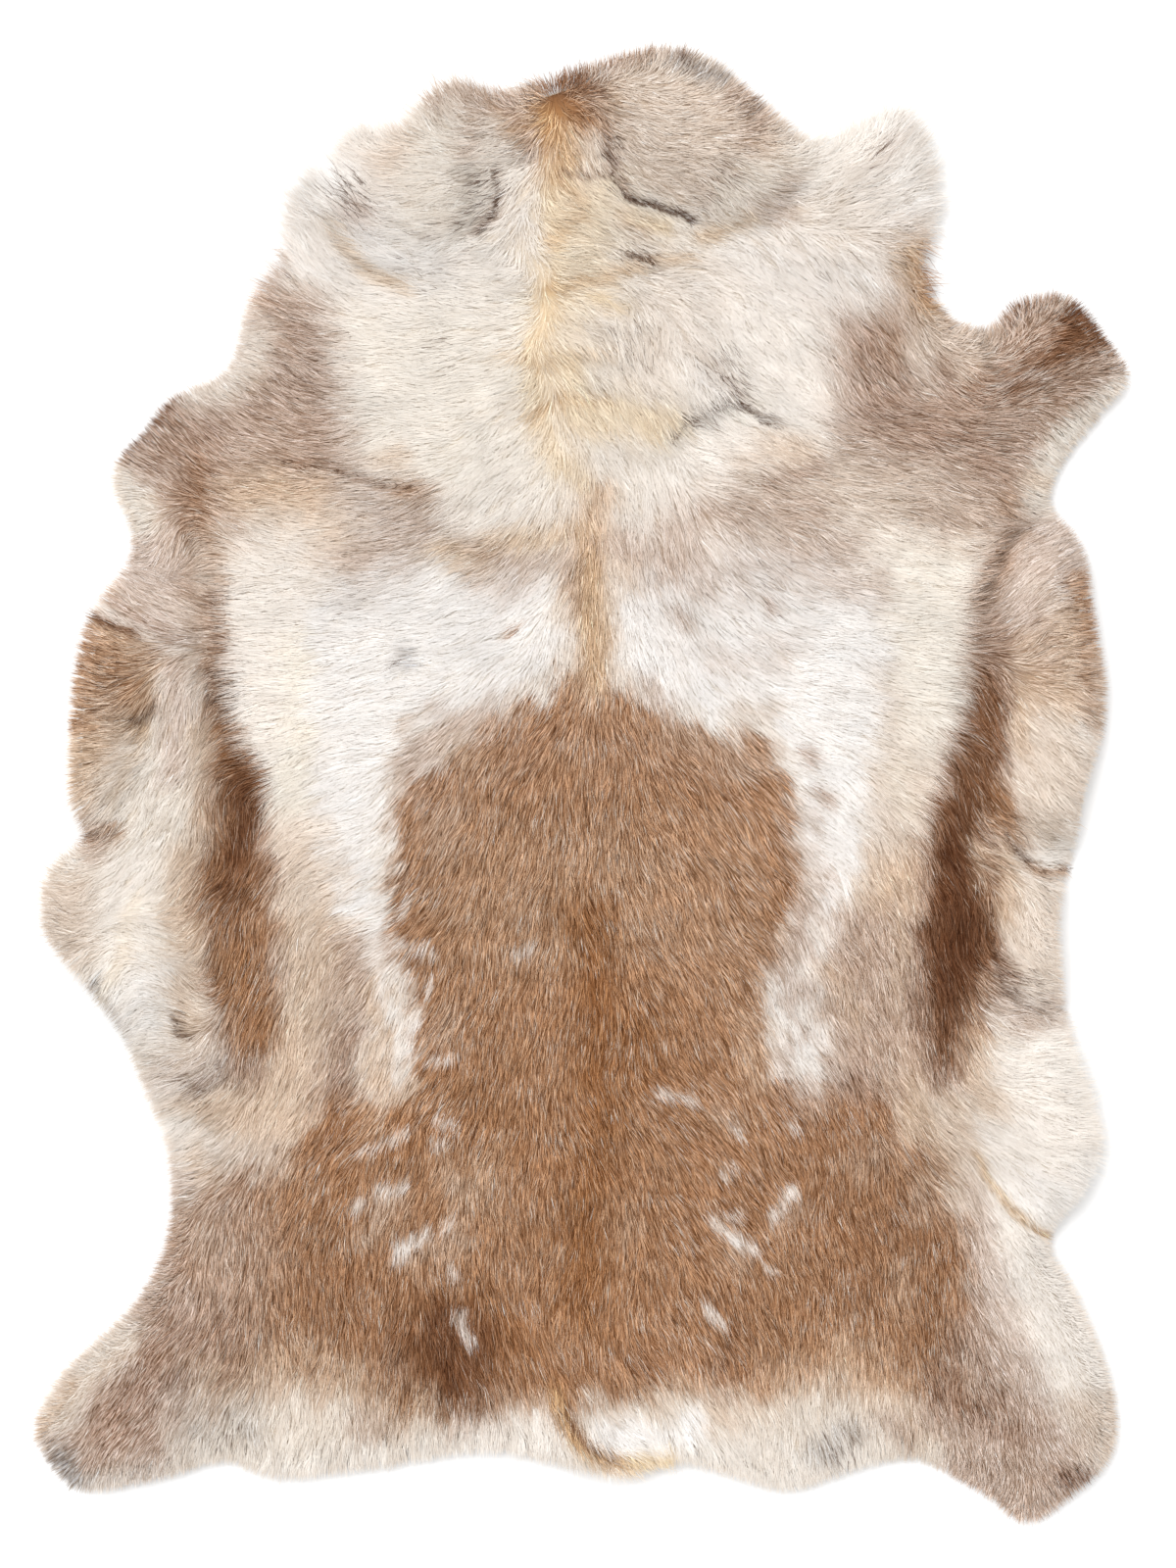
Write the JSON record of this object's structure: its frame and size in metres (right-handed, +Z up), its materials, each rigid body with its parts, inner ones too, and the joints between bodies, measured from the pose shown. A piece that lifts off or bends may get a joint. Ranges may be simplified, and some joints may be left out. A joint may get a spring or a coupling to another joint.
{
  "type": "reindeer hide",
  "caption": "Tanned reindeer hide with its winter coat, lying hair side up, with uneven folded belly edges, leg lobes, neck ruff and a short tail.",
  "frame": {"origin": "middle of the hide's box, on the surface that it lies on", "axes": "+Y along the spine from tail to neck, +X to the right seen from above with the neck at the top, +Z up out of the hair side"},
  "size_m": [0.8956, 1.2044, 0.0596],
  "materials": {
    "coat": "reindeer winter hair, soft and matt",
    "skin": "undyed tanned skin, suede flesh side"
  },
  "bodies": {
    "root": {"hide": "coat"}
  },
  "joints": []
}
